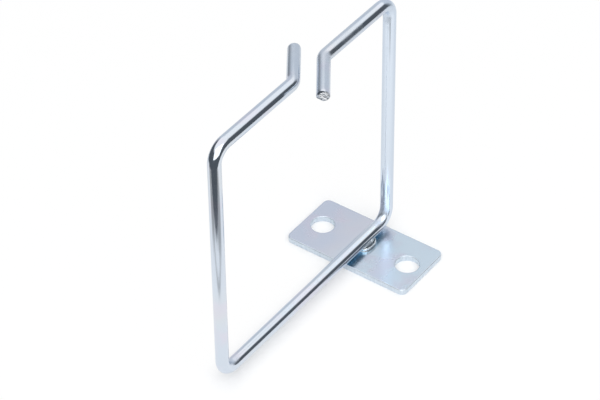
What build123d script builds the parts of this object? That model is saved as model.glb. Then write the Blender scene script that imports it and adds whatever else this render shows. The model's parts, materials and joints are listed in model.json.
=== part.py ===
from build123d import *
import os
from math import cos, radians, sin, tan

# Cable guide bracket: a square ring bent from one steel wire, open at the top,
# resistance welded by its lower run onto a small punched screw plate.
# Millimetres. The plate's underside lies on XY with its centre at the origin,
# the screw holes lie along X, and the ring stands in the YZ plane.

# Wire ring
WIRE_D = 4.0
CLEAR_WIDTH = 80.0
CLEAR_HEIGHT = 80.0
CORNER_INNER_R = 3.0
FAR_TOP_RUN = 36.4
ENTRY_GAP = 4.4
END_ANGLE = 35.0
END_INNER_R = 3.0
FAR_END_LENGTH = 16.3
NEAR_END_LENGTH = 18.1
SHEAR_TILT = 5.0
END_EDGE_BREAK = 0.35

# Screw plate: as long as its holes' spacing and the metal left beyond them
HOLE_SPACING = 31.75
HOLE_END_DISTANCE = 6.125
PLATE_WIDTH = 22.0
PLATE_THICKNESS = 2.0
PLATE_CORNER_R = 2.0
PLATE_EDGE_ROLL = 0.3
HOLE_D = 7.5
HOLE_EDGE_ROLL = 0.25

# Ring on the plate: the plate's outer long edge stays inside the side's centre line
SIDE_OVERHANG = 0.8
WELD_STANDOFF = 0.3

# Weld: metal that rises up both flanks of the wire, inside a lip pushed out round it
WELD_LENGTH = 7.8
WELD_REACH = 1.4
WELD_CORNER_R = 2.4
LIP_HEIGHT = 1.4
LIP_THICKNESS = 0.42
LIP_LEAN = 12.0
PIT_DEPTH = 0.9
FLANK_THICKNESS = 0.3
FLANK_RISE = 0.3
FLANK_LENGTH = 6.0
FLANK_CORNER_R = 0.8

# What follows from them
wire_r = WIRE_D / 2
weld_width = WIRE_D + 2 * WELD_REACH
plate_length = HOLE_SPACING + 2 * HOLE_END_DISTANCE
ring_width = CLEAR_WIDTH + WIRE_D
ring_height = CLEAR_HEIGHT + WIRE_D
near_y = PLATE_WIDTH / 2 + SIDE_OVERHANG
far_y = near_y - ring_width
low_z = PLATE_THICKNESS + WELD_STANDOFF + wire_r
top_z = low_z + ring_height
entry_pitch = (ENTRY_GAP + WIRE_D) / sin(radians(END_ANGLE))
far_bend_y = far_y + FAR_TOP_RUN
near_bend_y = far_bend_y + entry_pitch
end_direction = Vector(-sin(radians(END_ANGLE)), cos(radians(END_ANGLE)), 0)
far_end = Vector(0, far_bend_y, top_z) + end_direction * FAR_END_LENGTH
near_end = Vector(0, near_bend_y, top_z) - end_direction * NEAR_END_LENGTH


def wire_path():
    """The wire's centre line, from the far end round the ring to the near end."""
    corners = [
        far_end,
        (0, far_bend_y, top_z),
        (0, far_y, top_z),
        (0, far_y, low_z),
        (0, near_y, low_z),
        (0, near_y, top_z),
        (0, near_bend_y, top_z),
        near_end,
    ]
    end_bend = END_INNER_R + wire_r
    corner_bend = CORNER_INNER_R + wire_r
    return FilletPolyline(*corners, radius=[end_bend] + [corner_bend] * 4 + [end_bend])


def sheared(wire, tip, outward):
    """One cut end: the shear leaves its face a little off square, with a broken edge."""
    across = Vector(0, 0, 1).cross(outward)
    cut_plane = Plane(tip, x_dir=across, z_dir=outward).rotated((SHEAR_TILT, 0, 0))
    waste = cut_plane * Pos(0, 0, WIRE_D) * Box(2 * WIRE_D, 2 * WIRE_D, 2 * WIRE_D)
    wire = wire - waste
    cut_face = wire.faces().sort_by_distance(tip)[0]
    return chamfer(cut_face.edges(), END_EDGE_BREAK)


def build_wire_ring():
    """The bent wire, one solid of constant section."""
    path = wire_path()
    section = Plane(path @ 0, z_dir=path % 0) * Circle(wire_r)
    wire = sweep(section, path=path)
    wire = sheared(wire, far_end - end_direction * END_EDGE_BREAK, end_direction)
    return sheared(wire, near_end + end_direction * END_EDGE_BREAK, -end_direction)


def build_base_plate():
    """The punched plate, its upper edges rolled over by the punch."""
    blank = extrude(RectangleRounded(plate_length, PLATE_WIDTH, PLATE_CORNER_R), PLATE_THICKNESS)
    rim = blank.faces().sort_by(Axis.Z)[-1].edges()
    plate = fillet(rim, PLATE_EDGE_ROLL)
    for hole in GridLocations(HOLE_SPACING, 0, 2, 1):
        plate -= hole * Cylinder(HOLE_D / 2, 3 * PLATE_THICKNESS)
    hole_rims = plate.faces().sort_by(Axis.Z)[-1].edges().filter_by(GeomType.CIRCLE)
    hole_rims = hole_rims.filter_by(lambda rim: abs(rim.radius - HOLE_D / 2) < HOLE_EDGE_ROLL)
    return fillet(hole_rims, HOLE_EDGE_ROLL)


def leaning_block(inset, low, high):
    """The weld's outline drawn in by inset, filled between two heights and leaning inward."""
    levels = []
    for height in (low, high):
        drawn_in = inset + height * tan(radians(LIP_LEAN))
        width = weld_width - 2 * drawn_in
        length = WELD_LENGTH - 2 * drawn_in
        outline = RectangleRounded(width, length, WELD_CORNER_R - drawn_in)
        levels.append(Plane.XY.offset(PLATE_THICKNESS + height) * outline)
    return loft(levels, ruled=True)


def build_weld_bead():
    """Weld metal between the wire and the plate, cut to both so that their faces meet."""
    lip = leaning_block(0, 0, LIP_HEIGHT)
    pit = leaning_block(LIP_THICKNESS, LIP_HEIGHT - PIT_DEPTH, LIP_HEIGHT)
    flank_width = WIRE_D + 2 * FLANK_THICKNESS
    flank_height = WELD_STANDOFF + wire_r + FLANK_RISE
    flank_foot = RectangleRounded(flank_width, FLANK_LENGTH, FLANK_CORNER_R)
    flanks = extrude(Plane.XY.offset(PLATE_THICKNESS) * flank_foot, flank_height)
    run = Pos(0, 0, low_z) * Rot(90, 0, 0) * Cylinder(wire_r, 2 * WELD_LENGTH)
    return lip - pit + flanks - run


def main():
    os.makedirs("parts", exist_ok=True)
    export_step(build_wire_ring(), "parts/wire_ring.step")
    export_step(build_base_plate(), "parts/base_plate.step")
    export_step(build_weld_bead(), "parts/weld_bead.step")


main()
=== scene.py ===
import json
from math import atan2, copysign, cos, degrees, pi, radians, sin, sqrt, tan

import bmesh
import bpy
from mathutils import Matrix, Vector, noise


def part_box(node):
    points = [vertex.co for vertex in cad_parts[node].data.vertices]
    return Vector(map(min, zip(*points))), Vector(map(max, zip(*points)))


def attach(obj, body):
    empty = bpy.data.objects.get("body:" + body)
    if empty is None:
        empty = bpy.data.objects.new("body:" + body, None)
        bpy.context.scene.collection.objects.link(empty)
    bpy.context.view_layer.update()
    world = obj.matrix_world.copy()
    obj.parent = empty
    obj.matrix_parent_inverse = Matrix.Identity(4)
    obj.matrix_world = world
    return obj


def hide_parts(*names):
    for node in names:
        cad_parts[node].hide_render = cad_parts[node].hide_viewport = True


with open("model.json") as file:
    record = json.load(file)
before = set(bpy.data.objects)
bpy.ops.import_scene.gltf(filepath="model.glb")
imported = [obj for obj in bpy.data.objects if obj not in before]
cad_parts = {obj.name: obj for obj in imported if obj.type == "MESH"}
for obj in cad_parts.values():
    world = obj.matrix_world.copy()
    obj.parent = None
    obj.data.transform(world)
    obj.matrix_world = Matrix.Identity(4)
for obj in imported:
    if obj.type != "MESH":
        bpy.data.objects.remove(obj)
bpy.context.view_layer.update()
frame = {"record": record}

# Sizes in metres. What the frame holds is read from it, and the rest is named here.
MM = 0.001
ring_low, ring_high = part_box("wire_ring")
plate_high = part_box("base_plate")[1]
weld_low, weld_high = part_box("weld_bead")
screw_holes = next(mount for mount in frame["record"]["mounts"] if mount["name"] == "screw_holes")
UP = Vector((0.0, 0.0, 1.0))

WIRE_D = 4.0 * MM
BEND_RADIUS = 5.0 * MM
END_ANGLE = radians(35.0)
FAR_TOP_RUN = 36.4 * MM
ENTRY_GAP = 4.4 * MM
FAR_END_LENGTH = 16.3 * MM
NEAR_END_LENGTH = 18.1 * MM
END_ROLL_LENGTH = 1.2 * MM

wire_r = WIRE_D / 2
far_y = ring_low.y + wire_r
near_y = ring_high.y - wire_r
low_z = ring_low.z + wire_r
top_z = ring_high.z - wire_r
far_bend_y = far_y + FAR_TOP_RUN
near_bend_y = far_bend_y + (ENTRY_GAP + WIRE_D) / sin(END_ANGLE)
end_direction = Vector((-sin(END_ANGLE), cos(END_ANGLE), 0.0))
ring_middle = Vector((0.0, (near_y + far_y) / 2, (low_z + top_z) / 2))

plate_top = plate_high.z
hole_r = screw_holes["dims"]["hole_r_mm"] * MM
hole_x = screw_holes["dims"]["spacing_x_mm"] * MM / 2


# The Mix node's sockets for two colours and for their blend
MIX_FIRST = 6
MIX_SECOND = 7
MIX_RESULT = 2


class Socket:
    """A shader node's output. Arithmetic on it adds Math nodes."""

    def __init__(self, shader, output):
        self.shader = shader
        self.output = output

    def __add__(self, other):
        return self.shader.maths("ADD", self, other)

    def __radd__(self, other):
        return self.shader.maths("ADD", other, self)

    def __sub__(self, other):
        return self.shader.maths("SUBTRACT", self, other)

    def __rsub__(self, other):
        return self.shader.maths("SUBTRACT", other, self)

    def __mul__(self, other):
        return self.shader.maths("MULTIPLY", self, other)

    def __rmul__(self, other):
        return self.shader.maths("MULTIPLY", other, self)

    def __abs__(self):
        return self.shader.maths("ABSOLUTE", self)


class Shader:
    """The node tree of a material or the world."""

    def __init__(self, owner):
        owner.use_nodes = True
        self.tree = owner.node_tree
        self.tree.nodes.clear()

    def add(self, kind, settings=None, sockets=None, output=0):
        """Adds a node: its settings first, then a value or a link for each socket."""
        node = self.tree.nodes.new("ShaderNode" + kind)
        for name, value in (settings or {}).items():
            setattr(node, name, value)
        for name, value in (sockets or {}).items():
            if isinstance(value, Socket):
                self.tree.links.new(value.output, node.inputs[name])
            else:
                node.inputs[name].default_value = value
        return Socket(self, node.outputs[output]) if len(node.outputs) else None

    def maths(self, operation, *values):
        return self.add("Math", {"operation": operation}, dict(enumerate(values)))

    def smooth(self, value, band):
        """0 below a band's low end, 1 above its high end, and a smooth step between."""
        return self.add(
            "MapRange",
            {"interpolation_type": "SMOOTHSTEP"},
            {"Value": value, "From Min": band[0], "From Max": band[1]},
        )

    def vector_maths(self, operation, first, second=None, output="Vector"):
        """A Vector Math node. Where its result is a number, such as a length, its output is Value."""
        sockets = {0: first} if second is None else {0: first, 1: tuple(second)}
        return self.add("VectorMath", {"operation": operation}, sockets, output)

    def dot(self, vector, direction):
        """How far a vector reaches along a direction."""
        return self.vector_maths("DOT_PRODUCT", vector, direction, "Value")

    def folded(self, place, centre):
        """A place measured from a centre, with all its coordinates made positive."""
        return self.vector_maths("ABSOLUTE", self.vector_maths("SUBTRACT", place, centre))

    def outside(self, place, centre, half):
        """How far a place lies outside the box about a centre that has these half sizes."""
        beyond = self.vector_maths("SUBTRACT", self.folded(place, centre), half)
        beyond = self.vector_maths("MAXIMUM", beyond, (0.0, 0.0, 0.0))
        return self.vector_maths("LENGTH", beyond, output="Value")

    def axis(self, place, letter):
        """One coordinate of a place."""
        return self.add("SeparateXYZ", None, {"Vector": place}, letter)

    def noise(self, place, form):
        """Cloudy noise, of a scale and a detail. A scale of three numbers draws it out along the axes."""
        scale, detail = form
        if isinstance(scale, tuple):
            place = self.add("Mapping", None, {"Vector": place, "Scale": scale})
            scale = 1.0
        return self.add("TexNoise", None, {"Vector": place, "Scale": scale, "Detail": detail})

    def blend(self, factor, first, second):
        """A colour between two."""
        sockets = {"Factor": factor, MIX_FIRST: first, MIX_SECOND: second}
        return self.add("Mix", {"data_type": "RGBA"}, sockets, MIX_RESULT)

    def finish(self, surface):
        kind = "OutputWorld" if isinstance(self.tree.id_data, bpy.types.World) else "OutputMaterial"
        self.add(kind, None, {"Surface": surface})

    def finish_metal(self, colour, roughness, height, relief):
        """Ends a metal's tree. Relief is how strongly its height shows, and how far it stands out."""
        strength, depth = relief
        bump = self.add("Bump", None, {"Height": height, "Strength": strength, "Distance": depth})
        self.finish(self.add("BsdfPrincipled", None, {
            "Base Color": colour,
            "Metallic": 1.0,
            "Roughness": roughness,
            "Normal": bump,
        }))


def rgb(red, green, blue):
    return (red, green, blue, 1.0)


def new_material(name):
    material = bpy.data.materials.new(name)
    return material, Shader(material)


# Finishes. Noise has a scale and a detail, and its mean is NOISE_MEAN. A band is where noise, or a
# distance, takes a finish from one state to the next. A relief has a strength and a depth.

NOISE_MEAN = 0.5

PLATING = rgb(0.69, 0.74, 0.80)
PLATING_BLUE = rgb(0.64, 0.715, 0.82)
PLATING_ROSE = rgb(0.73, 0.70, 0.79)
PLATING_STRAW = rgb(0.71, 0.74, 0.75)
# Painted reflection: the near side's lighter sky blue stands in for the brighter light it mirrors
PLATING_PAINTED_REFLECTION = rgb(0.72, 0.80, 0.90)

FILM_PATCHES = (45.0, 2.0)
ROSE_PATCHES = (103.5, 3.0)
FILM_STRENGTH = 0.55
BLUE_BAND = (0.40, 0.62)
ROSE_BAND = (0.48, 0.66)
STRAW_BAND = (0.52, 0.66)
REFLECTION_BAND = (2.0 * MM, 9.0 * MM)
REFLECTION_STRENGTH = 0.85


def film_and_painted_reflection(shader, place):
    """Clear zinc plating is a thin film: its tint drifts between blue, rose and straw. The ring's near
    side is painted a lighter sky blue: painted reflection."""
    drift = shader.noise(place, FILM_PATCHES)
    second = shader.noise(place, ROSE_PATCHES)
    film = shader.blend(shader.smooth(drift, BLUE_BAND) * FILM_STRENGTH, PLATING, PLATING_BLUE)
    film = shader.blend(shader.smooth(second, ROSE_BAND) * FILM_STRENGTH, film, PLATING_ROSE)
    film = shader.blend(shader.smooth(1.0 - drift, STRAW_BAND) * FILM_STRENGTH, film, PLATING_STRAW)
    # Painted reflection: lighter sky blue over the ring's near side
    near_side_reflection = shader.smooth(shader.axis(place, "Y"), REFLECTION_BAND)
    return shader.blend(near_side_reflection * REFLECTION_STRENGTH, film, PLATING_PAINTED_REFLECTION)


PRESSED_BAND = (3.3 * MM, 4.2 * MM)


def pressed_by_pins(shader, place):
    """1 on the inside of the ring's corners, where the bending pins left the wire matt."""
    pin = Vector((0.0, (near_y - far_y) / 2 - BEND_RADIUS, (top_z - low_z) / 2 - BEND_RADIUS))
    arm = shader.vector_maths("SUBTRACT", shader.folded(place, ring_middle), pin)
    upright = shader.vector_maths("MULTIPLY", arm, (0.0, 1.0, 1.0))
    from_pin = shader.vector_maths("LENGTH", upright, output="Value")
    return 1.0 - shader.smooth(from_pin, PRESSED_BAND)


# Marks on the wire. Die lines and flecks are drawn out along it.
DIE_LINES = ((11.0, 11.0, 120.0), 4.0)
FLECKS = ((7.0, 7.0, 800.0), 3.0)
WIRE_GRAIN = (9000.0, 2.0)
WIRE_CLOUDS = (160.0, 3.0)
DIE_LINE_SHARE = 0.7
WIRE_GRAIN_SHARE = 0.3
WIRE_RELIEF = (0.13, 0.02 * MM)
SCUFF_CENTRE = (0.0, -8.0 * MM, 88.0 * MM)
SCUFF_BAND = (0.42, 0.62)
SCUFF_REACH = (14.0 * MM, 34.0 * MM)

# Roughness of the clean wire, and what each mark adds to it
WIRE_ROUGHNESS = 0.09
CLOUD_ROUGHNESS = 0.05
LINE_ROUGHNESS = 0.04
SCUFF_ROUGHNESS = 0.14
PRESSED_ROUGHNESS = 0.24


def zinc_wire():
    """Bright plating on drawn wire: fine die lines run along it, and it mirrors the room."""
    material, shader = new_material("zinc_on_wire")
    flow = shader.add("Attribute", {"attribute_name": "wire_flow"}, output="Vector")
    place = shader.add("TexCoord", output="Object")
    die_lines = shader.noise(flow, DIE_LINES)
    grain = shader.noise(place, WIRE_GRAIN)
    clouds = shader.noise(place, WIRE_CLOUDS)
    flecks = shader.noise(flow, FLECKS)
    height = die_lines * DIE_LINE_SHARE + grain * WIRE_GRAIN_SHARE + flecks
    from_scuffs = shader.vector_maths("DISTANCE", place, SCUFF_CENTRE, "Value")
    scuffs = shader.smooth(clouds, SCUFF_BAND) * (1.0 - shader.smooth(from_scuffs, SCUFF_REACH))
    roughness = WIRE_ROUGHNESS + clouds * CLOUD_ROUGHNESS + die_lines * LINE_ROUGHNESS
    roughness = roughness + scuffs * SCUFF_ROUGHNESS
    roughness = roughness + pressed_by_pins(shader, place) * PRESSED_ROUGHNESS
    shader.finish_metal(film_and_painted_reflection(shader, place), roughness, height, WIRE_RELIEF)
    return material


SHEET_LILAC = rgb(0.53, 0.575, 0.68)
SHEET_PALE = rgb(0.58, 0.60, 0.675)
SHEET_TEAL = rgb(0.56, 0.655, 0.745)
SHEET_ROSE = rgb(0.585, 0.565, 0.665)
# Painted shade: the dark blue under the wire on the plate
UNDER_WIRE_PAINTED_SHADE = rgb(0.26, 0.50, 0.66)

ROLLING = ((300.0, 4000.0, 4000.0), 3.0)
SHEET_GRAIN = (5000.0, 2.0)
SHEET_CLOUDS = (120.0, 4.0)
SHEET_DRIFT = (55.0, 2.0)
SHEET_PATCHES = (130.0, 3.0)
ROLLING_SHARE = 0.5
SHEET_GRAIN_SHARE = 0.5
SHEET_RELIEF = (0.06, 0.02 * MM)
SHEET_ROUGHNESS = 0.20
SHEET_CLOUD_ROUGHNESS = 0.12

# Along the plate: where its film turns pale and then teal, and how far those borders wander
PALE_BAND = (-17.0 * MM, -5.0 * MM)
PALE_WANDER = 24.0 * MM
TEAL_BAND = (-8.0 * MM, 5.0 * MM)
TEAL_WANDER = 18.0 * MM
PATCH_BAND = (0.50, 0.68)
PATCH_STRENGTH = 0.5

# Painted shade under the wire: how far beside the wire's middle it fades, and where it ends along the wire
UNDER_WIRE_SHADE_BAND = (2.0 * MM, 4.2 * MM)
UNDER_WIRE_SHADE_WANDER = 1.5 * MM
UNDER_WIRE_SHADE_END = (5.0 * MM, 9.5 * MM)
UNDER_WIRE_SHADE_STRENGTH = 0.85


def film_and_painted_shade(shader, place):
    """The plate's tint: lilac to teal along it, in patches, with painted blue shade under the wire."""
    along = shader.axis(place, "X")
    drift = shader.noise(place, SHEET_DRIFT)
    patches = shader.noise(place, SHEET_PATCHES)
    pale = shader.smooth(along + (patches - NOISE_MEAN) * PALE_WANDER, PALE_BAND)
    teal = shader.smooth(along + (drift - NOISE_MEAN) * TEAL_WANDER, TEAL_BAND)
    film = shader.blend(teal, shader.blend(pale, SHEET_LILAC, SHEET_PALE), SHEET_TEAL)
    film = shader.blend(shader.smooth(patches, PATCH_BAND) * PATCH_STRENGTH, film, SHEET_ROSE)
    # Painted shade: dark blue where the wire lies over the plate
    under_wire_shade = 1.0 - shader.smooth(abs(along) + (patches - NOISE_MEAN) * UNDER_WIRE_SHADE_WANDER, UNDER_WIRE_SHADE_BAND)
    under_wire_shade = under_wire_shade * (1.0 - shader.smooth(shader.axis(place, "Y"), UNDER_WIRE_SHADE_END))
    return shader.blend(under_wire_shade * UNDER_WIRE_SHADE_STRENGTH, film, UNDER_WIRE_PAINTED_SHADE)


def zinc_plate():
    """Plating on cold-rolled sheet: softer than the wire, with the rolling's faint grain along X."""
    material, shader = new_material("zinc_on_sheet")
    place = shader.add("TexCoord", output="Object")
    rolling = shader.noise(place, ROLLING)
    grain = shader.noise(place, SHEET_GRAIN)
    clouds = shader.noise(place, SHEET_CLOUDS)
    height = rolling * ROLLING_SHARE + grain * SHEET_GRAIN_SHARE
    roughness = SHEET_ROUGHNESS + clouds * SHEET_CLOUD_ROUGHNESS
    shader.finish_metal(film_and_painted_shade(shader, place), roughness, height, SHEET_RELIEF)
    return material


EDGE_DULL = rgb(0.64, 0.72, 0.80)
EDGE_BRIGHT = rgb(0.75, 0.82, 0.89)
PUNCH_MARKS = ((2600.0, 2600.0, 300.0), 4.0)
PUNCH_MARK_BAND = (0.30, 0.70)
PUNCH_RELIEF = (0.12, 0.03 * MM)
EDGE_CLOUDS = (400.0, 2.0)
EDGE_ROUGHNESS = 0.34
EDGE_CLOUD_ROUGHNESS = 0.16


def zinc_cut_edge():
    """Plating over the plate's punched sides: fine marks across the thickness."""
    material, shader = new_material("zinc_on_punched_edge")
    place = shader.add("TexCoord", output="Object")
    marks = shader.noise(place, PUNCH_MARKS)
    clouds = shader.noise(place, EDGE_CLOUDS)
    colour = shader.blend(shader.smooth(marks, PUNCH_MARK_BAND), EDGE_DULL, EDGE_BRIGHT)
    roughness = EDGE_ROUGHNESS + clouds * EDGE_CLOUD_ROUGHNESS
    shader.finish_metal(colour, roughness, marks, PUNCH_RELIEF)
    return material


# Painted shade: the smooth crescent is coloured darker than the torn part of the end
CRESCENT_PAINTED_SHADE = rgb(0.50, 0.55, 0.62)
TORN_DULL = rgb(0.62, 0.67, 0.73)
TORN_BRIGHT = rgb(0.95, 0.97, 1.00)
TEAR_ANGLE = radians(-40.0)
TEAR_SEED = 8.0
STREAKS_ALONG = 260.0
STREAKS_ASIDE = 1100.0
STREAKS = (1.0, 4.0)
STREAK_BAND = (0.38, 0.56)
STREAK_RELIEF = (1.0, 0.16 * MM)
END_ROUGHNESS = 0.08
TORN_ROUGHNESS = 0.14


def zinc_sheared_end():
    """Plating over a sheared end: a smooth crescent where the blade went in, darkened by painted shade,
    then torn streaks.
    """
    material, shader = new_material("zinc_on_sheared_end")
    place = shader.add("TexCoord", output="Object")
    torn = shader.add("Attribute", {"attribute_name": "torn"}, output="Fac")
    across = Vector((cos(END_ANGLE), sin(END_ANGLE), 0.0))
    along = shader.dot(place, across * cos(TEAR_ANGLE) + UP * sin(TEAR_ANGLE))
    aside = shader.dot(place, UP * cos(TEAR_ANGLE) - across * sin(TEAR_ANGLE))
    drawn = shader.add("CombineXYZ", None, {
        "X": along * STREAKS_ALONG,
        "Y": aside * STREAKS_ASIDE,
        "Z": TEAR_SEED,
    })
    streaks = shader.noise(drawn, STREAKS)
    bright = shader.blend(shader.smooth(streaks, STREAK_BAND), TORN_DULL, TORN_BRIGHT)
    # The crescent takes the darker colour: painted shade
    colour = shader.blend(torn, CRESCENT_PAINTED_SHADE, bright)
    roughness = END_ROUGHNESS + torn * TORN_ROUGHNESS
    shader.finish_metal(colour, roughness, streaks * torn, STREAK_RELIEF)
    return material


WELD_BRIGHT = rgb(0.84, 0.88, 0.91)
# Painted shade: the weld's pit darkens with its depth
WELD_PAINTED_SHADE = rgb(0.27, 0.30, 0.33)
WELD_PITS = (2600.0, 5.0)
WELD_RIPPLE = (900.0, 3.0)
WELD_RELIEF = (0.7, 0.07 * MM)
PIT_SHADE_BAND = (0.35, 0.75)
PIT_SHADE_WANDER = 0.5
WELD_ROUGHNESS = 0.16
RIPPLE_ROUGHNESS = 0.12
SHADED_PIT_ROUGHNESS = 0.25


def zinc_weld():
    """Plating over the weld: a bright lip round a pitted seam, darker deeper in the pit by painted shade.
    """
    material, shader = new_material("zinc_on_weld")
    place = shader.add("TexCoord", output="Object")
    depth = shader.add("Attribute", {"attribute_name": "weld_depth"}, output="Fac")
    pits = shader.noise(place, WELD_PITS)
    ripple = shader.noise(place, WELD_RIPPLE)
    # Painted shade, deepest in the pit and fading up the flank
    pit_shade = shader.smooth(depth + (pits - NOISE_MEAN) * PIT_SHADE_WANDER, PIT_SHADE_BAND)
    colour = shader.blend(pit_shade, WELD_BRIGHT, WELD_PAINTED_SHADE)
    roughness = WELD_ROUGHNESS + ripple * RIPPLE_ROUGHNESS + pit_shade * SHADED_PIT_ROUGHNESS
    shader.finish_metal(colour, roughness, pits, WELD_RELIEF)
    return material


# Mesh helpers

def finished_piece(name, mesh, materials, replaced):
    """Links a mesh as a piece of the bracket that stands for a node of the frame."""
    piece = bpy.data.objects.new(name, mesh)
    bpy.context.scene.collection.objects.link(piece)
    for index, material in enumerate(materials):
        if index < len(mesh.materials):
            mesh.materials[index] = material
        else:
            mesh.materials.append(material)
    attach(piece, "root")
    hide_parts(replaced)


def shade_smooth(mesh, sharp_angle):
    """Smooth shading, with the edges kept sharp where faces meet at more than an angle."""
    mesh.shade_smooth()
    mesh.set_sharp_from_angle(angle=sharp_angle)


# The wire ring

WIRE_SIDES = 64
BEND_STEPS = 28


def wire_corners():
    """The wire's centre line before its corners are rounded, from the far end to the near end."""
    far_bend = Vector((0.0, far_bend_y, top_z))
    near_bend = Vector((0.0, near_bend_y, top_z))
    return [
        far_bend + end_direction * (FAR_END_LENGTH - END_ROLL_LENGTH),
        far_bend,
        Vector((0.0, far_y, top_z)),
        Vector((0.0, far_y, low_z)),
        Vector((0.0, near_y, low_z)),
        Vector((0.0, near_y, top_z)),
        near_bend,
        near_bend - end_direction * (NEAR_END_LENGTH - END_ROLL_LENGTH),
    ]


def wire_tree(material):
    """Geometry nodes that bend a corner line into the wire and give it its round section."""
    tree = bpy.data.node_groups.new("bent_wire", "GeometryNodeTree")
    interface = tree.interface
    interface.new_socket("Corners", in_out="INPUT", socket_type="NodeSocketGeometry")
    for name in ("Wire Radius", "Bend Radius"):
        interface.new_socket(name, in_out="INPUT", socket_type="NodeSocketFloat")
    for name in ("Sides", "Bend Steps"):
        interface.new_socket(name, in_out="INPUT", socket_type="NodeSocketInt")
    interface.new_socket("Wire", in_out="OUTPUT", socket_type="NodeSocketGeometry")

    def add(kind, **settings):
        node = tree.nodes.new(kind)
        for name, value in settings.items():
            setattr(node, name, value)
        return node

    link = tree.links.new
    given = add("NodeGroupInput").outputs
    bends = add("GeometryNodeFilletCurve", mode="POLY")
    link(given["Corners"], bends.inputs["Curve"])
    link(given["Bend Radius"], bends.inputs["Radius"])
    link(given["Bend Steps"], bends.inputs["Count"])

    length = add("GeometryNodeSplineParameter")
    keep_length = add("GeometryNodeCaptureAttribute", domain="POINT")
    keep_length.capture_items.new("FLOAT", "Length")
    link(bends.outputs["Curve"], keep_length.inputs["Geometry"])
    link(length.outputs["Length"], keep_length.inputs["Length"])

    section = add("GeometryNodeCurvePrimitiveCircle", mode="RADIUS")
    link(given["Sides"], section.inputs["Resolution"])
    link(given["Wire Radius"], section.inputs["Radius"])
    place = add("GeometryNodeInputPosition")
    keep_place = add("GeometryNodeCaptureAttribute", domain="POINT")
    keep_place.capture_items.new("VECTOR", "Place")
    link(section.outputs["Curve"], keep_place.inputs["Geometry"])
    link(place.outputs["Position"], keep_place.inputs["Place"])

    skin = add("GeometryNodeCurveToMesh")
    skin.inputs["Fill Caps"].default_value = False
    link(keep_length.outputs["Geometry"], skin.inputs["Curve"])
    link(keep_place.outputs["Geometry"], skin.inputs["Profile Curve"])

    around = add("ShaderNodeVectorMath", operation="DIVIDE")
    link(keep_place.outputs["Place"], around.inputs[0])
    link(given["Wire Radius"], around.inputs[1])
    along = add("ShaderNodeCombineXYZ")
    link(keep_length.outputs["Length"], along.inputs["Z"])
    flow = add("ShaderNodeVectorMath", operation="ADD")
    link(around.outputs[0], flow.inputs[0])
    link(along.outputs[0], flow.inputs[1])
    store = add("GeometryNodeStoreNamedAttribute", data_type="FLOAT_VECTOR", domain="POINT")
    store.inputs["Name"].default_value = "wire_flow"
    link(skin.outputs["Mesh"], store.inputs["Geometry"])
    link(flow.outputs[0], store.inputs["Value"])

    real = add("GeometryNodeRealizeInstances")
    link(store.outputs["Geometry"], real.inputs["Geometry"])
    coat = add("GeometryNodeSetMaterial")
    coat.inputs["Material"].default_value = material
    link(real.outputs["Geometry"], coat.inputs["Geometry"])
    link(coat.outputs["Geometry"], add("NodeGroupOutput").inputs["Wire"])
    return tree


def set_input(modifier, name, value):
    """Sets one input of a geometry nodes modifier, by the identifier of its socket."""
    for item in modifier.node_group.interface.items_tree:
        if item.item_type == "SOCKET" and item.in_out == "INPUT" and item.name == name:
            modifier[item.identifier] = value


def bent_wire_mesh(material):
    """The wire's skin, open at both ends, as a plain mesh."""
    line = bpy.data.curves.new("wire_corners", "CURVE")
    line.dimensions = "3D"
    points = wire_corners()
    spline = line.splines.new("POLY")
    spline.points.add(len(points) - 1)
    for point, place in zip(spline.points, points):
        point.co = (*place, 1.0)
    maker = bpy.data.objects.new("wire_corners", line)
    bpy.context.scene.collection.objects.link(maker)
    nodes = maker.modifiers.new("bent_wire", "NODES")
    nodes.node_group = wire_tree(material)
    set_input(nodes, "Wire Radius", wire_r)
    set_input(nodes, "Bend Radius", BEND_RADIUS)
    set_input(nodes, "Sides", WIRE_SIDES)
    set_input(nodes, "Bend Steps", BEND_STEPS)
    evaluated = maker.evaluated_get(bpy.context.evaluated_depsgraph_get())
    mesh = bpy.data.meshes.new_from_object(evaluated)
    bpy.data.objects.remove(maker)
    return mesh


END_FACE_BACK = 0.35 * MM
END_FACE_OUT = END_ROLL_LENGTH - END_FACE_BACK
SHEAR_LEAN = tan(radians(5.0))
RIM_REACH = 1.1 * wire_r
ROLL_STEPS = 8
SIDE_GROWTH = 1.6
FACE_RINGS = 14
WIRE_SHARP_ANGLE = radians(50.0)
TORN_CENTRE = Vector((0.44, -0.24)) * MM
TORN_RADIUS = 1.70 * MM
TORN_EDGE = 0.16 * MM
CRESCENT_SLOPE = 0.30
TORN_DEPTH = 0.08 * MM
TEAR_HEIGHT = 0.06 * MM
TEARS = 1400.0
FINE_TEARS = 3600.0
FINE_TEAR_SHARE = 0.5

# Edge of each end, in mm: how far it is rolled over all round, and where it is rolled over further
# and crushed, each with an angle and a reach either side in degrees. Seen from outside, angles run
# anticlockwise from the right. The near end is rolled over at the top and the upper left and crushed
# at the lower left, and the far end is flattened on top.
NEAR_EDGE = {
    "roll": 0.05,
    "rolled": [(0.12, 160.0, 60.0), (0.14, 80.0, 45.0)],
    "crushed": (0.46, 236.0, 40.0),
}
FAR_EDGE = {
    "roll": 0.34,
    "rolled": [(0.16, 60.0, 80.0)],
    "crushed": (0.12, 100.0, 40.0),
}


def swell(angle, depth, centre, reach):
    """A depth at an angle in degrees, falling smoothly to 0 at a reach either side."""
    away = abs((angle - centre + 180.0) % 360.0 - 180.0)
    return depth * (0.5 + 0.5 * cos(pi * away / reach)) if away < reach else 0.0


def edge_shape(edge, angle):
    """How far an end's edge is rolled over and crushed at an angle in degrees."""
    roll = edge["roll"] + sum(swell(angle, *place) for place in edge["rolled"])
    return roll * MM, swell(angle, *edge["crushed"]) * MM


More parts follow.
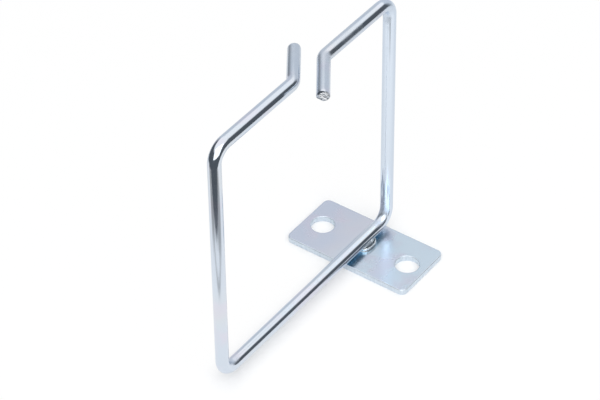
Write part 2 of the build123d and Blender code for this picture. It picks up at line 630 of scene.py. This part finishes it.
def rolled_side(roll, crush, angle):
    """An end's rolled edge at one angle, row by row: its radius, its reach past the rim, and how torn."""
    face_out = END_FACE_OUT + SHEAR_LEAN * wire_r * sin(angle)
    rows = []
    for step in range(1, ROLL_STEPS + 1):
        part = step / ROLL_STEPS
        quarter = part * pi / 2
        radius = wire_r - crush * part - roll * (1.0 - cos(quarter))
        out = (face_out - roll) * min(1.0, part * SIDE_GROWTH) + roll * sin(quarter)
        rows.append((radius, min(out, face_out), 0.0))
    return rows


def torn_face(roll, crush, angle):
    """An end's face at one angle, from its edge inwards: the same three values for each row."""
    rows = []
    for step in range(1, FACE_RINGS):
        radius = (wire_r - crush - roll) * (1.0 - step / FACE_RINGS)
        from_torn = (Vector((radius * cos(angle), radius * sin(angle))) - TORN_CENTRE).length
        torn = min(1.0, max(0.0, (TORN_RADIUS - from_torn) / TORN_EDGE))
        slope = CRESCENT_SLOPE * max(0.0, from_torn - TORN_RADIUS)
        rows.append((radius, END_FACE_OUT + SHEAR_LEAN * radius * sin(angle) - slope, torn))
    return rows


def close_end(body, rim_centre, outward, edge):
    """Grows one sheared end from the wire's open rim: a rolled edge, then a torn face."""
    across = UP.cross(outward)
    flow = body.verts.layers.float_vector["wire_flow"]
    torn = body.verts.layers.float["torn"]

    def turn(vertex):
        return atan2(vertex.co.z - rim_centre.z, (vertex.co - rim_centre).dot(across))

    open_rims = [vertex for vertex in body.verts if vertex.is_boundary]
    rim = [vertex for vertex in open_rims if (vertex.co - rim_centre).length < RIM_REACH]
    columns = []
    for start in sorted(rim, key=turn):
        angle = turn(start)
        side = across * cos(angle) + UP * sin(angle)
        roll, crush = edge_shape(edge, degrees(angle))
        column = [start]
        for radius, out, ripped in rolled_side(roll, crush, angle) + torn_face(roll, crush, angle):
            spot = rim_centre + side * radius + outward * out
            tear = noise.noise(spot * TEARS) + FINE_TEAR_SHARE * noise.noise(spot * FINE_TEARS)
            vertex = body.verts.new(spot + outward * (TEAR_HEIGHT * tear - TORN_DEPTH) * ripped)
            vertex[flow] = start[flow]
            vertex[torn] = ripped
            column.append(vertex)
        columns.append(column)
    middle = body.verts.new(rim_centre + outward * (END_FACE_OUT - TORN_DEPTH))
    middle[torn] = 1.0
    for first, second in zip(columns, columns[1:] + columns[:1]):
        for row in range(len(first) - 1):
            face = body.faces.new((first[row], second[row], second[row + 1], first[row + 1]))
            face.material_index = int(row >= ROLL_STEPS)
            face.smooth = True
        face = body.faces.new((first[-1], second[-1], middle))
        face.material_index = 1
        face.smooth = True


PIN_MARK_DEPTH = 0.03 * MM
PIN_MARK_REACH = radians(33.0)
PIN_MARK_FADE = radians(10.0)


def press_pin_marks(body):
    """Flattens the inside of each corner, where the bending pin pressed the wire."""
    pin_radius = BEND_RADIUS - wire_r + PIN_MARK_DEPTH
    for y in (near_y, far_y):
        for z in (low_z, top_z):
            inward = Vector((0.0, copysign(1.0, ring_middle.y - y), copysign(1.0, ring_middle.z - z)))
            pin = Vector((0.0, y, z)) + inward * BEND_RADIUS
            for vertex in body.verts:
                arm = vertex.co - pin
                arm.x = 0.0
                if arm.length > pin_radius or arm.length < wire_r / 2:
                    continue
                swing = arm.angle(-inward)
                fade = min(1.0, max(0.0, (PIN_MARK_REACH - swing) / PIN_MARK_FADE))
                vertex.co += arm.normalized() * (pin_radius - arm.length) * fade


def build_wire():
    """The ring's wire, bent, pressed by the pins and sheared at both ends."""
    plated = zinc_wire()
    mesh = bent_wire_mesh(plated)
    corners = wire_corners()
    body = bmesh.new()
    body.from_mesh(mesh)
    body.verts.layers.float.new("torn")
    press_pin_marks(body)
    close_end(body, corners[0], end_direction, FAR_EDGE)
    close_end(body, corners[-1], -end_direction, NEAR_EDGE)
    bmesh.ops.recalc_face_normals(body, faces=body.faces)
    body.to_mesh(mesh)
    body.free()
    shade_smooth(mesh, WIRE_SHARP_ANGLE)
    finished_piece("bent_wire", mesh, [plated, zinc_sheared_end()], "wire_ring")


# The punched plate

CORNER_RADIUS = 2.0 * MM
CORNER_STEPS = 16
EDGE_STEP = 0.8 * MM
HOLE_SIDES = 128
PLATE_SHARP_ANGLE = radians(35.0)
SUPPORT = 0.10 * MM
RIM_ROLL = 0.30 * MM
HOLE_ROLL = 0.25 * MM
EDGE_ROLL_STEPS = 6
BREAK_WANDER = 0.05 * MM
BREAK_WAVES = 900.0
BURR_HEIGHT = 0.06 * MM
BURR_INSET = 0.10 * MM

# Punched side under its rolled edge: how high, as a share of the thickness, and how far in, in mm.
# It is burnished down to BURNISHED, and breaks below that.
BURNISHED = 0.62
BROKEN_SIDE = [(0.44, 0.005), (0.38, 0.035), (0.20, 0.055)]
BROKEN_INSET = 0.07 * MM


def plate_outline(inset):
    """The plate's outline, anticlockwise from above, drawn in by inset."""
    radius = CORNER_RADIUS - inset
    x = plate_high.x - CORNER_RADIUS
    y = plate_high.y - CORNER_RADIUS
    along_x = round(2 * x / EDGE_STEP)
    along_y = round(2 * y / EDGE_STEP)
    points = []
    for centre, start, steps in (((x, y), 0, along_x), ((-x, y), 90, along_y),
                                 ((-x, -y), 180, along_x), ((x, -y), 270, along_y)):
        for step in range(CORNER_STEPS + 1):
            angle = radians(start + 90.0 * step / CORNER_STEPS)
            points.append(Vector((centre[0] + radius * cos(angle), centre[1] + radius * sin(angle))))
        angle = radians(start + 90.0)
        heading = Vector((-sin(angle), cos(angle)))
        run = 2 * (x if steps == along_x else y)
        last = points[-1]
        points += [last + heading * run * step / steps for step in range(1, steps)]
    return points


def hole_outline(centre_x, radius):
    """A screw hole's outline, anticlockwise from above."""
    turns = [2 * pi * side / HOLE_SIDES for side in range(HOLE_SIDES)]
    return [Vector((centre_x + radius * cos(turn), radius * sin(turn))) for turn in turns]


def punched_profile(roll):
    """Height, inset and wander down a punched side: support loop, rolled edge, burnish, break and burr."""
    rows = [(plate_top, roll + SUPPORT, 0.0)]
    for step in range(EDGE_ROLL_STEPS + 1):
        quarter = pi / 2 * step / EDGE_ROLL_STEPS
        rows.append((plate_top - roll * (1.0 - cos(quarter)), roll * (1.0 - sin(quarter)), 0.0))
    rows.append((plate_top * BURNISHED, 0.0, 0.0))
    rows += [(plate_top * share, inset * MM, BREAK_WANDER) for share, inset in BROKEN_SIDE]
    rows.append((BURR_HEIGHT, BROKEN_INSET, BREAK_WANDER))
    rows.append((0.0, BURR_INSET, 0.0))
    rows.append((0.0, BURR_INSET + SUPPORT, 0.0))
    return rows


def side_wall(body, outline_at, rows, flip):
    """Adds a wall round an outline, and returns its first and last loops. Its punched finish starts
    one step down the rolled edge and ends at the underside."""
    loops = []
    for height, inset, wander in rows:
        loop = []
        for point in outline_at(inset):
            spot = Vector((point.x, point.y, height))
            spot.z += noise.noise(spot * BREAK_WAVES) * wander
            loop.append(body.verts.new(spot))
        loops.append(loop)
    count = len(loops[0])
    punched_rows = range(2, len(loops) - 2)
    for row, (upper, lower) in enumerate(zip(loops, loops[1:])):
        for here in range(count):
            ahead = (here + 1) % count
            corners = (upper[here], lower[here], lower[ahead], upper[ahead])
            face = body.faces.new(corners[::-1] if flip else corners)
            face.smooth = True
            face.material_index = int(row in punched_rows)
    return loops[0], loops[-1]


def fill_between(body, loops):
    """Fills the flat sheet between its rim and its holes."""
    edges = []
    for loop in loops:
        for first, second in zip(loop, loop[1:] + loop[:1]):
            edges.append(body.edges.get((first, second)))
    made = bmesh.ops.triangle_fill(body, use_beauty=True, use_dissolve=False, edges=edges)
    for face in made["geom"]:
        if isinstance(face, bmesh.types.BMFace):
            face.smooth = True
            face.material_index = 0


def build_plate():
    """The punched plate with its two screw holes."""
    body = bmesh.new()
    walls = [side_wall(body, plate_outline, punched_profile(RIM_ROLL), False)]
    for centre_x in (-hole_x, hole_x):
        def widened(inset, centre_x=centre_x):
            return hole_outline(centre_x, hole_r + inset)
        walls.append(side_wall(body, widened, punched_profile(HOLE_ROLL), True))
    fill_between(body, [top for top, bottom in walls])
    fill_between(body, [bottom for top, bottom in walls])
    bmesh.ops.recalc_face_normals(body, faces=body.faces)
    mesh = bpy.data.meshes.new("punched_plate")
    body.to_mesh(mesh)
    body.free()
    shade_smooth(mesh, PLATE_SHARP_ANGLE)
    finishes = [zinc_plate(), zinc_cut_edge()]
    finished_piece("punched_plate", mesh, finishes, "base_plate")


# The weld

WELD_SIDES = 280
WELD_SHARP_ANGLE = radians(60.0)
WELD_SQUARENESS = 0.80
FLANK_HALF_WIDTH = wire_r + 0.30 * MM
FLANK_HALF_LENGTH = 3.00 * MM
FLANK_HEIGHT = 2.55 * MM
FLANK_SQUARENESS_X = 0.35
FLANK_SQUARENESS_Y = 0.75

# Noise round the weld: how close its waves are, a seed, and how fast the fine one changes with height
RAGGED_WAVES = 1.9
RAGGED_SEED = Vector((0.0, 0.0, 7.0))
FINE_WAVES = 6.0
FINE_CLIMB = 1.3
TORN_WAVES = 4.2
TORN_SEED = Vector((0.0, 0.0, 19.0))

# What that noise does: the lip's mean inset in mm, its mean height and the flank's as shares of their
# sections, and what each noise adds
LIP_INSET = 0.08
RAGGED_INSET = 0.16
FINE_INSET = 0.07
LIP_RISE = 0.86
RAGGED_RISE = 0.26
FINE_RISE = 0.10
FLANK_RISE = 0.88
TORN_RISE = 0.30

# Rubble on the skin, and how rough the pit and the flank are beside the lip
RUBBLE_WAVES = 1500.0
FINE_RUBBLE_WAVES = 3900.0
FINE_RUBBLE_SHARE = 0.6
RUBBLE_HEIGHT = 0.07 * MM
PIT_ROUGH = 1.3
FLANK_ROUGH = 0.8
FLANK_LOW = 0.60 * MM

# How deep in the pit a point counts as, for the painted shade: at the flank's foot, less up it, and at the
# wire
FLANK_DEEP = 0.75
FLANK_CLEARS = 0.70
JOINT_DEEP = 0.1

# Section of the lip, from its foot up over the curled crest and down into the pit: how far in from
# the outline and how high, in mm, then how rough, and how deep in the pit from 0 to 1
LIP_SECTION = [
    (0.06, 0.00, 0.0, 0.1),
    (0.02, 0.10, 0.3, 0.1),
    (0.06, 0.30, 0.7, 0.0),
    (0.15, 0.55, 0.9, 0.0),
    (0.20, 0.80, 1.0, 0.0),
    (0.16, 1.02, 1.0, 0.0),
    (0.10, 1.18, 1.0, 0.0),
    (0.13, 1.30, 1.0, 0.0),
    (0.22, 1.37, 1.0, 0.0),
    (0.33, 1.38, 1.0, 0.0),
    (0.43, 1.31, 1.0, 0.1),
    (0.50, 1.18, 1.0, 0.4),
    (0.54, 1.00, 1.0, 0.7),
    (0.58, 0.80, 1.0, 1.0),
    (0.64, 0.64, 1.2, 1.0),
]
# Pit floor: how far across from the lip to the flank, and how high in mm
PIT_SECTION = [(0.25, 0.54), (0.5, 0.48), (0.75, 0.50), (0.92, 0.60)]
# Flank: how far up it, and how far its skin thins there in mm
FLANK_SECTION = [
    (0.30, 0.00),
    (0.42, 0.03),
    (0.54, 0.06),
    (0.66, 0.09),
    (0.78, 0.13),
    (0.88, 0.16),
    (0.96, 0.21),
]


def squared(share, squareness):
    """A circle's sine or cosine, pushed out toward a square as squareness falls below 1."""
    return copysign(abs(share) ** squareness, share)


def flank_outline(angle, thinned):
    """Plan of the metal beside the wire: a rectangle with well rounded corners."""
    x = (FLANK_HALF_WIDTH - thinned) * squared(cos(angle), FLANK_SQUARENESS_X)
    y = FLANK_HALF_LENGTH * squared(sin(angle), FLANK_SQUARENESS_Y)
    return Vector((x, y, 0.0))


def under_wire(spot):
    """Keeps a point of the weld outside the wire: below it, or beside it."""
    if abs(spot.x) < wire_r:
        spot.z = min(spot.z, low_z - sqrt(wire_r ** 2 - spot.x ** 2))
    return spot


def weld_column(angle):
    """The weld's section at one angle round it, from its foot to where it meets the wire."""
    half_x = (weld_high.x - weld_low.x) / 2
    half_y = (weld_high.y - weld_low.y) / 2
    around = Vector((cos(angle), sin(angle), 0.0))
    square_x = squared(around.x, WELD_SQUARENESS)
    square_y = squared(around.y, WELD_SQUARENESS)
    ragged = noise.noise(around * RAGGED_WAVES + RAGGED_SEED)
    column = []
    for inward, height, rough, deep in LIP_SECTION:
        fine = noise.noise(around * FINE_WAVES + UP * (height * FINE_CLIMB))
        inset = (inward + rough * (LIP_INSET + RAGGED_INSET * ragged + FINE_INSET * fine)) * MM
        rise = height * (LIP_RISE + RAGGED_RISE * ragged + FINE_RISE * fine) * MM
        spot = Vector(((half_x - inset) * square_x, (half_y - inset) * square_y, plate_top + rise))
        column.append((spot, rough, deep))
    lip_foot = column[-1][0]
    for across, height in PIT_SECTION:
        spot = lip_foot.lerp(flank_outline(angle, 0.0), across)
        spot.z = plate_top + height * MM
        column.append((spot, PIT_ROUGH, 1.0))
    torn = noise.noise(around * TORN_WAVES + TORN_SEED)
    top = FLANK_HEIGHT * (FLANK_RISE + TORN_RISE * torn)
    for part, thinned in FLANK_SECTION:
        spot = flank_outline(angle, thinned * MM)
        spot.z = plate_top + max(FLANK_LOW, top * part)
        column.append((spot, FLANK_ROUGH, FLANK_DEEP - FLANK_CLEARS * part))
    return column


def build_weld():
    """Flash squeezed out by the weld: a ragged lip round a pit, and metal up the wire's flanks."""
    body = bmesh.new()
    depth = body.verts.layers.float.new("weld_depth")
    columns = []
    for side in range(WELD_SIDES):
        column = []
        for spot, rough, deep in weld_column(2 * pi * side / WELD_SIDES):
            rubble = noise.noise(spot * RUBBLE_WAVES)
            rubble += FINE_RUBBLE_SHARE * noise.noise(spot * FINE_RUBBLE_WAVES)
            spot.z += rubble * RUBBLE_HEIGHT * rough
            spot.z = min(max(spot.z, plate_top), weld_high.z)
            vertex = body.verts.new(under_wire(spot))
            vertex[depth] = deep
            column.append(vertex)
        edge = column[-1].co
        axis = Vector((0.0, edge.y, low_z))
        joint = body.verts.new(axis + (edge - axis).normalized() * wire_r)
        joint[depth] = JOINT_DEEP
        column.append(joint)
        columns.append(column)
    for first, second in zip(columns, columns[1:] + columns[:1]):
        for row in range(len(first) - 1):
            face = body.faces.new((first[row], second[row], second[row + 1], first[row + 1]))
            face.smooth = True
    bmesh.ops.recalc_face_normals(body, faces=body.faces)
    mesh = bpy.data.meshes.new("weld_flash")
    body.to_mesh(mesh)
    body.free()
    shade_smooth(mesh, WELD_SHARP_ANGLE)
    finished_piece("weld_flash", mesh, [zinc_weld()], "weld_bead")


build_wire()
build_plate()
build_weld()


# The photographer's viewpoint, which the card, the room and the lamp are laid out from

CAMERA_AZIMUTH = radians(36.41)
CAMERA_ELEVATION = radians(40.82)
CAMERA_ROLL = radians(0.72)
CAMERA_DISTANCE = 750.0 * MM
CAMERA_AIM = Vector((0.0, -30.0, 45.0)) * MM
CAMERA_SLIDE_RIGHT = -1.9 * MM
CAMERA_SLIDE_DOWN = 2.9 * MM
CAMERA_CLIP = 10.0 * MM
# In mm, as Blender takes them
CAMERA_SENSOR = 36.0
CAMERA_LENS = 154.9

level_forward = Vector((-sin(CAMERA_AZIMUTH), cos(CAMERA_AZIMUTH), 0.0))
level_right = Vector((cos(CAMERA_AZIMUTH), sin(CAMERA_AZIMUTH), 0.0))


# The table: a white card under the bracket

WHITE = rgb(1.0, 1.0, 1.0)
BLACK = rgb(0.0, 0.0, 0.0)
PAPER = rgb(0.98, 0.98, 0.98)
PAPER_ROUGHNESS = 0.75
CARD_BACK = 400.0 * MM
CARD_FRONT = 129.5 * MM
CARD_SIDE = 320.0 * MM
CARD_SLANT = -0.06

# The card in the metal, by how far a place lies to the front and to the right of the bracket
MIRRORED_FAR = rgb(0.79, 0.81, 0.835)
POOL_FRONT = (-40.0 * MM, 60.0 * MM)
RIGHT_OF_POOL = (88.0 * MM, 110.0 * MM)
RIGHT_SHADE_FRONT = (74.0 * MM, 92.0 * MM)
RIGHT_SHADE_SIDE = (32.0 * MM, 56.0 * MM)
LEFT_OF_POOL = (228.0 * MM, 275.0 * MM)
LEFT_SHADE_FRONT = (64.0 * MM, 78.0 * MM)
LEFT_SLOPE = 1.6
SHADE_STRENGTH = 0.75
SEAM_TO_FRONT = 103.5 * MM
SEAM_BAND = (1.0 * MM, 6.0 * MM)
SEAM_SIDE = (-12.0 * MM, 4.0 * MM)
SEAM_SHADE_STRENGTH = 0.70

# How much of the card's look is plain white instead of lit paper, near the bracket and clear of it
CLEAR_BAND = (1.0 * MM, 12.0 * MM)
SEEN_NEAR = 0.22
SEEN_CLEAR = 0.70
MIRRORED_NEAR = 0.25
MIRRORED_CLEAR = 0.50


def mirrored_card(shader, place):
    """The card as the metal sees it: a pool of light, a seam of painted shade across its front, and shade
    beside them.
    """
    to_front = shader.dot(place, -level_forward)
    aside = shader.dot(place, level_right)
    card = shader.blend(shader.smooth(to_front, POOL_FRONT), MIRRORED_FAR, WHITE)
    right_of_pool = shader.smooth(to_front + aside, RIGHT_OF_POOL)
    right_of_pool = right_of_pool * (1.0 - shader.smooth(aside, RIGHT_SHADE_SIDE))
    right_of_pool = right_of_pool * shader.smooth(to_front, RIGHT_SHADE_FRONT)
    left_of_pool = shader.smooth(to_front - aside * LEFT_SLOPE, LEFT_OF_POOL)
    left_of_pool = left_of_pool * shader.smooth(to_front, LEFT_SHADE_FRONT)
    card = shader.blend((right_of_pool + left_of_pool) * SHADE_STRENGTH, card, BLACK)
    # Painted shade: a dark seam across the card's front, in what the metal sees
    seam_shade = 1.0 - shader.smooth(abs(to_front - SEAM_TO_FRONT), SEAM_BAND)
    seam_shade = seam_shade * (1.0 - shader.smooth(aside, SEAM_SIDE))
    return shader.blend(seam_shade * SEAM_SHADE_STRENGTH, card, BLACK)


def sheet_paper():
    """White card. Away from the bracket the camera and the metal see it brighter than the light on it."""
    material, shader = new_material("white_card")
    paper = shader.add("BsdfPrincipled", None, {"Base Color": PAPER, "Roughness": PAPER_ROUGHNESS})
    place = shader.add("TexCoord", output="Object")
    from_run = shader.outside(place, (0.0, ring_middle.y, 0.0), (0.0, (near_y - far_y) / 2, 0.0))
    from_plate = shader.outside(place, (0.0, 0.0, 0.0), (plate_high.x, plate_high.y, 0.0))
    clear = shader.smooth(shader.maths("MINIMUM", from_run, from_plate), CLEAR_BAND)
    seen = shader.add("LightPath", output="Is Camera Ray")
    mirrored = shader.add("LightPath", output="Is Glossy Ray")
    colour = shader.blend(mirrored, WHITE, mirrored_card(shader, place))
    glow = shader.add("Emission", None, {"Color": colour, "Strength": 1.0})
    share = seen * (SEEN_NEAR + clear * SEEN_CLEAR) + mirrored * (MIRRORED_NEAR + clear * MIRRORED_CLEAR)
    shader.finish(shader.add("MixShader", None, {0: share, 1: paper, 2: glow}))
    return material


def lay_card():
    """The level card, its front edge a little aslant."""
    slant = level_forward * CARD_SLANT * CARD_SIDE
    back = level_forward * CARD_BACK
    front = -level_forward * CARD_FRONT
    aside = level_right * CARD_SIDE
    corners = [back - aside, back + aside, front + aside + slant, front - aside - slant]
    mesh = bpy.data.meshes.new("white_card")
    mesh.from_pydata([tuple(corner) for corner in corners], [], [(3, 2, 1, 0)])
    mesh.materials.append(sheet_paper())
    card = bpy.data.objects.new("white_card", mesh)
    bpy.context.scene.collection.objects.link(card)


lay_card()


# The room: white overhead, a pale wall behind and dark sides, for the bright plating to mirror

DARK_WALL = rgb(0.10, 0.113, 0.128)
PALE_WALL = rgb(0.67, 0.71, 0.765)
CEILING = rgb(1.12, 1.12, 1.12)
WALL_AZIMUTH = radians(14.0)
WALL_BAND = (0.50, 0.86)
CEILING_BAND = (0.55, 0.71)


def build_world():
    """Walls by which way a ray heads, the ceiling by how steeply it climbs, and white for the camera."""
    world = bpy.data.worlds.new("studio")
    bpy.context.scene.world = world
    shader = Shader(world)
    direction = shader.add("TexCoord", output="Generated")
    level = shader.vector_maths("MULTIPLY", direction, (1.0, 1.0, 0.0))
    heading = shader.vector_maths("NORMALIZE", level)
    pale_middle = level_forward * cos(WALL_AZIMUTH) + level_right * sin(WALL_AZIMUTH)
    wall = shader.blend(shader.smooth(shader.dot(heading, pale_middle), WALL_BAND), DARK_WALL, PALE_WALL)
    colour = shader.blend(shader.smooth(shader.axis(direction, "Z"), CEILING_BAND), wall, CEILING)
    room = shader.add("Background", None, {"Color": colour, "Strength": 1.0})
    white = shader.add("Background", None, {"Color": WHITE, "Strength": 1.0})
    seen = shader.add("LightPath", output="Is Camera Ray")
    shader.finish(shader.add("MixShader", None, {0: seen, 1: room, 2: white}))


build_world()


# The lamp

SOFTBOX_AZIMUTH = radians(175.0)
SOFTBOX_ELEVATION = radians(38.0)
SOFTBOX_DISTANCE = 900.0 * MM
SOFTBOX_WIDTH = 1250.0 * MM
SOFTBOX_HEIGHT = 980.0 * MM
SOFTBOX_POWER = 6.0


def add_softbox():
    """One wide soft lamp on the photographer's side."""
    level = level_forward * cos(SOFTBOX_AZIMUTH) + level_right * sin(SOFTBOX_AZIMUTH)
    away = level * cos(SOFTBOX_ELEVATION) + UP * sin(SOFTBOX_ELEVATION)
    lamp = bpy.data.lights.new("softbox", "AREA")
    lamp.shape = "RECTANGLE"
    lamp.size = SOFTBOX_WIDTH
    lamp.size_y = SOFTBOX_HEIGHT
    lamp.energy = SOFTBOX_POWER
    box = bpy.data.objects.new("softbox", lamp)
    bpy.context.scene.collection.objects.link(box)
    box.location = CAMERA_AIM + away * SOFTBOX_DISTANCE
    box.rotation_euler = away.to_track_quat("Z", "Y").to_euler()


add_softbox()


# The camera

def add_camera():
    """The photograph's viewpoint, fitted to the ring, the plate and its holes."""
    forward = level_forward * cos(CAMERA_ELEVATION) - UP * sin(CAMERA_ELEVATION)
    down = forward.cross(level_right)
    right = level_right * cos(CAMERA_ROLL) + down * sin(CAMERA_ROLL)
    down = down * cos(CAMERA_ROLL) - level_right * sin(CAMERA_ROLL)
    camera = bpy.data.cameras.new("camera")
    camera.sensor_width = CAMERA_SENSOR
    camera.lens = CAMERA_LENS
    camera.clip_start = CAMERA_CLIP
    viewer = bpy.data.objects.new("camera", camera)
    bpy.context.scene.collection.objects.link(viewer)
    place = CAMERA_AIM - forward * CAMERA_DISTANCE + right * CAMERA_SLIDE_RIGHT + down * CAMERA_SLIDE_DOWN
    viewer.matrix_world = Matrix.Translation(place) @ Matrix((right, -down, -forward)).transposed().to_4x4()
    bpy.context.scene.camera = viewer


add_camera()
bpy.context.scene.view_settings.view_transform = "Standard"
